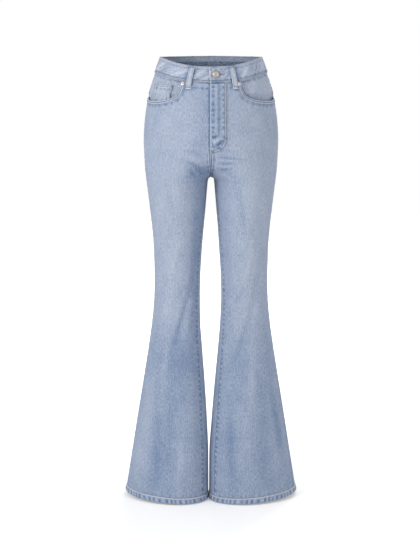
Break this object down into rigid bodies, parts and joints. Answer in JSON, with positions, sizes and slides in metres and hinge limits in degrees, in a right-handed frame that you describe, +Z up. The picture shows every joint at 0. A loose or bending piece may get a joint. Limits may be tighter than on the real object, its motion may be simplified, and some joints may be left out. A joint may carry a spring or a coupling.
{
  "type": "bootcut jeans",
  "caption": "Light-blue denim jeans, slim to the knee and flared to the hem, filled out and hollow, held at the waist.",
  "frame": {"origin": "middle of the waist opening, 20 mm below its side edges, where a wearer's waist holds the jeans up", "axes": "+Z up along the legs towards the waist, the front faces -Y, +X is the wearer's left"},
  "size_m": [0.442, 0.2435, 1.1195],
  "materials": {
    "denim": "washed light-blue twill, faded on the thighs and along the seams",
    "thread": "pale tan sewing thread",
    "button_metal": "satin, pale copper",
    "rivet_metal": "satin"
  },
  "bodies": {
    "root": {"front_right": "denim", "front_left": "denim", "back_right": "denim", "back_left": "denim", "yoke_right": "denim", "yoke_left": "denim", "waistband": "denim", "fly": "denim", "pocket_facing_right": "denim", "pocket_facing_left": "denim", "coin_pocket": "denim", "back_pocket_right": "denim", "back_pocket_left": "denim", "hem_right": "denim", "hem_left": "denim", "belt_loop_front_right": "denim", "belt_loop_front_left": "denim", "belt_loop_back_right": "denim", "belt_loop_back_left": "denim", "belt_loop_back_middle": "denim", "button": "button_metal", "rivet_right": "rivet_metal", "rivet_left": "rivet_metal"}
  },
  "joints": []
}
